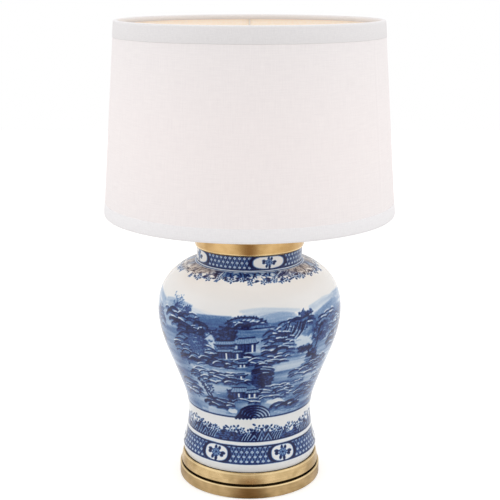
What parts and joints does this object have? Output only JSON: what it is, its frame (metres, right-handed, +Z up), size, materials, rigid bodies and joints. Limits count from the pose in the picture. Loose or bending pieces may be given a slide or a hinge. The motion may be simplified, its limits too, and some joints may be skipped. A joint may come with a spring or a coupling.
{
  "type": "table lamp",
  "caption": "Porcelain ginger jar table lamp on a round brass base, with a brass neck cap, a bulb in a harp and a tapered fabric drum shade.",
  "frame": {"origin": "middle of the underside of the felt pad under the base, where the lamp stands", "axes": "+Z up along the lamp's axis, -Y towards the viewer, +X to the viewer's right; the harp lies in the XZ plane, the switch knob points to -Y and the cord outlet to +Y"},
  "size_m": [0.4427, 0.4428, 0.715],
  "materials": {
    "felt": "pressed wool felt, matte",
    "block_wood": "raw turned hardwood, unfinished",
    "antique_brass": "spun brass, brushed round the axis and lacquered over a dark patina",
    "cap_brass": "spun brass, satin, with a darkened rolled edge",
    "fitting_brass": "stamped brass, satin",
    "harp_brass": "brass-plated wire, satin",
    "bushing_plastic": "moulded, matte black",
    "zinc_steel": "zinc-plated, satin",
    "gasket_rubber": "matte black rubber",
    "porcelain": "glazed white porcelain painted in cobalt blue under the glaze",
    "liner_fibre": "vulcanised fibre, matte",
    "holder_phenolic": "moulded phenolic, matte black",
    "screw_aluminium": "rolled thin sheet, satin",
    "knob_plastic": "moulded, glossy black",
    "frosted_glass": "frosted inside, softly translucent",
    "cap_aluminium": "rolled bulb cap, satin",
    "black_glass": "black glass insulator",
    "solder": "tinned solder bead",
    "clear_glass": "clear pressed glass",
    "tungsten": "drawn wire and coil",
    "shade_linen": "off-white woven linen, matte",
    "hem_tape": "off-white linen tape, folded over the rings",
    "shade_film": "cream translucent film bonded behind the fabric",
    "white_wire": "white powder-coated steel wire",
    "finial_brass": "turned brass, polished"
  },
  "bodies": {
    "lamp_body": {"felt_pad": "felt", "base_block": "block_wood", "base_skirt": "antique_brass", "base_moulding": "antique_brass", "cord_bushing": "bushing_plastic", "threaded_rod": "zinc_steel", "rod_washers": "zinc_steel", "lock_washer": "zinc_steel", "base_nut": "zinc_steel", "cap_nut": "zinc_steel", "foot_gasket": "gasket_rubber", "neck_gasket": "gasket_rubber", "jar": "porcelain", "neck_cap": "cap_brass", "harp_saddle": "harp_brass", "harp": "harp_brass", "holder_cap": "fitting_brass", "holder_shell": "fitting_brass", "holder_liner": "liner_fibre", "holder_body": "holder_phenolic", "terminal_screws": "fitting_brass", "screw_shell": "screw_aluminium", "centre_contact": "fitting_brass"},
    "switch": {"switch_shaft": "zinc_steel", "switch_knob": "knob_plastic"},
    "bulb_rise": {"bulb_contact": "solder"},
    "bulb": {"bulb_glass": "frosted_glass", "bulb_cap": "cap_aluminium", "bulb_insulator": "black_glass", "bulb_stem": "clear_glass", "bulb_filament": "tungsten"},
    "sleeve_left": {"sleeve_left": "harp_brass"},
    "sleeve_right": {"sleeve_right": "harp_brass"},
    "shade": {"shade_cover": "shade_linen", "shade_lining": "shade_film", "top_hem": "hem_tape", "bottom_hem": "hem_tape", "top_ring": "white_wire", "bottom_ring": "white_wire", "struts": "white_wire", "carrier_arms": "white_wire", "carrier_washer": "white_wire"},
    "finial_rise": {"finial_bush": "fitting_brass"},
    "finial": {"finial_knob": "finial_brass"}
  },
  "joints": [
    {"name": "switch_turn", "type": "hinge", "parent": "lamp_body", "child": "switch", "pos_m": [0, -0.024, 0.4345], "axis": [0, -1, 0], "continuous": true},
    {"name": "bulb_lift", "type": "slide", "parent": "lamp_body", "child": "bulb_rise", "axis": [0, 0, 1], "range_m": [0, 0.0191]},
    {"name": "bulb_turn", "type": "hinge", "parent": "bulb_rise", "child": "bulb", "pos_m": [0, 0, 0.46], "axis": [0, 0, 1], "range_deg": [0, 1890]},
    {"name": "sleeve_left_lift", "type": "slide", "parent": "lamp_body", "child": "sleeve_left", "axis": [0, 0, 1], "range_m": [0, 0.015]},
    {"name": "sleeve_right_lift", "type": "slide", "parent": "lamp_body", "child": "sleeve_right", "axis": [0, 0, 1], "range_m": [0, 0.015]},
    {"name": "shade_turn", "type": "hinge", "parent": "lamp_body", "child": "shade", "pos_m": [0, 0, 0.684], "axis": [0, 0, 1], "continuous": true},
    {"name": "finial_lift", "type": "slide", "parent": "lamp_body", "child": "finial_rise", "axis": [0, 0, 1], "range_m": [0, 0.0116]},
    {"name": "finial_turn", "type": "hinge", "parent": "finial_rise", "child": "finial", "pos_m": [0, 0, 0.69], "axis": [0, 0, 1], "range_deg": [0, 4410]}
  ],
  "couplings": [
    {"joint": "bulb_lift", "follows": "bulb_turn", "m_per_rad": 0.00057773},
    {"joint": "finial_lift", "follows": "finial_turn", "m_per_rad": 0.00014977}
  ]
}
